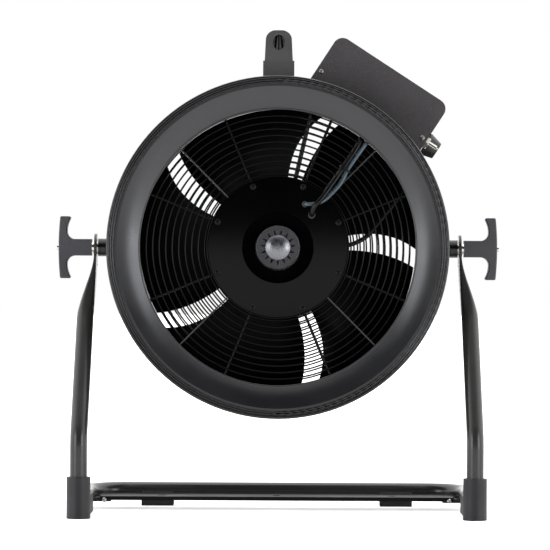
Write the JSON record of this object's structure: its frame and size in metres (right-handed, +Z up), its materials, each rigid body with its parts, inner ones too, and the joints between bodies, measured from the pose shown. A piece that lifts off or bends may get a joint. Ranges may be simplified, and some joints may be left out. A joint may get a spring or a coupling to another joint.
{
  "type": "drum fan on tilting stand",
  "caption": "Axial drum fan in wire guards on a tilting tubular floor stand, with a control box, a carry handle and T-handle clamps at the pivots.",
  "frame": {"origin": "on the floor, below the middle of the fan", "axes": "+Z up, -Y is the front (air outlet), +X is right seen from the front"},
  "size_m": [0.668, 0.3, 0.7245],
  "materials": {
    "stand_paint": "glossy",
    "foot_plastic": "matte",
    "pad_rubber": "matte",
    "drum_paint": "satin",
    "guard_paint": "satin",
    "plate_paint": "glossy",
    "screw_zinc": "satin",
    "screw_black": "satin",
    "motor_metal": "satin",
    "cap_metal": "polished",
    "core_steel": "matte",
    "coil_copper": "satin",
    "bright_steel": "polished",
    "nickel": "polished",
    "blade_plastic": "satin",
    "handle_paint": "matte",
    "grip_plastic": "matte",
    "box_paint": "matte",
    "inlet_plastic": "satin",
    "board": "satin",
    "capacitor": "matte",
    "bezel_plastic": "satin",
    "rocker_red": "glossy",
    "knob_plastic": "satin",
    "button_steel": "satin",
    "tee_plastic": "matte",
    "grommet_rubber": "matte",
    "lead_grey": "satin",
    "lead_black": "satin",
    "tie_nylon": "satin"
  },
  "bodies": {
    "stand": {"base_rail": "stand_paint", "left_leg": "stand_paint", "right_leg": "stand_paint", "left_foot": "foot_plastic", "right_foot": "foot_plastic", "rear_pads": "pad_rubber", "clamp_strip": "stand_paint", "strip_screws": "screw_zinc"},
    "fan_drum": {"drum_shell": "drum_paint", "front_panel": "drum_paint", "rear_panel": "drum_paint", "duct": "drum_paint", "front_guard": "guard_paint", "rear_guard": "guard_paint", "guard_screws": "screw_zinc", "motor_plate": "plate_paint", "plate_screws": "screw_black", "strut_bars": "drum_paint", "motor_cup": "drum_paint", "stator_flange": "motor_metal", "bearing_cap": "cap_metal", "stator_core": "core_steel", "windings": "coil_copper", "motor_bearings": "bright_steel", "pivot_bosses": "drum_paint", "pivot_washers": "nickel", "handle_brackets": "handle_paint", "handle_grip": "grip_plastic", "handle_screws": "screw_zinc", "box_body": "box_paint", "box_cover": "box_paint", "cover_screws": "screw_zinc", "power_inlet": "inlet_plastic", "speed_board": "board", "run_capacitor": "capacitor", "switch_bezel": "bezel_plastic", "breaker_bush": "nickel", "breaker_nut": "nickel", "lead_grommets": "grommet_rubber", "grey_lead": "lead_grey", "black_lead": "lead_black", "cable_tie": "tie_nylon", "inner_leads": "lead_black"},
    "impeller": {"rotor_can": "motor_metal", "hub_ring": "blade_plastic", "shaft": "bright_steel", "blade_1": "blade_plastic", "blade_2": "blade_plastic", "blade_3": "blade_plastic", "blade_4": "blade_plastic", "blade_5": "blade_plastic"},
    "switch_rocker": {"rocker": "rocker_red"},
    "knob": {"speed_knob": "knob_plastic"},
    "reset_plunger": {"reset_button": "button_steel"},
    "right_washer": {"right_clamp_washer": "nickel"},
    "left_washer": {"left_clamp_washer": "nickel"},
    "right_handle": {"right_t_handle": "tee_plastic", "right_stud": "nickel"},
    "left_handle": {"left_t_handle": "tee_plastic", "left_stud": "nickel"}
  },
  "joints": [
    {"name": "fan_tilt", "type": "hinge", "parent": "stand", "child": "fan_drum", "pos_m": [0, 0, 0.3988], "axis": [1, 0, 0], "range_deg": [-90, 90]},
    {"name": "impeller_spin", "type": "hinge", "parent": "fan_drum", "child": "impeller", "pos_m": [0, 0, 0.3988], "axis": [0, 1, 0], "continuous": true},
    {"name": "right_clamp_travel", "type": "slide", "parent": "fan_drum", "child": "right_washer", "axis": [1, 0, 0], "range_m": [0, 0.000875]},
    {"name": "right_handle_turn", "type": "hinge", "parent": "right_washer", "child": "right_handle", "pos_m": [0.28, 0, 0.3988], "axis": [1, 0, 0], "range_deg": [0, 180]},
    {"name": "left_clamp_travel", "type": "slide", "parent": "fan_drum", "child": "left_washer", "axis": [-1, 0, 0], "range_m": [0, 0.000875]},
    {"name": "left_handle_turn", "type": "hinge", "parent": "left_washer", "child": "left_handle", "pos_m": [-0.28, 0, 0.3988], "axis": [-1, 0, 0], "range_deg": [0, 180]},
    {"name": "power_rocker", "type": "hinge", "parent": "fan_drum", "child": "switch_rocker", "pos_m": [0.22489, 0.029, 0.56516], "axis": [0, -1, 0], "range_deg": [0, 16]},
    {"name": "speed_turn", "type": "hinge", "parent": "fan_drum", "child": "knob", "pos_m": [0.22053, 0, 0.55845], "axis": [0.8387, 0, -0.5446], "range_deg": [0, 270]},
    {"name": "reset_press", "type": "slide", "parent": "fan_drum", "child": "reset_plunger", "axis": [-0.8387, 0, 0.5446], "range_m": [0, 0.002], "stiffness_N_per_m": 400}
  ],
  "couplings": [
    {"joint": "right_clamp_travel", "follows": "right_handle_turn", "m_per_rad": 0.0002785},
    {"joint": "left_clamp_travel", "follows": "left_handle_turn", "m_per_rad": 0.0002785}
  ]
}
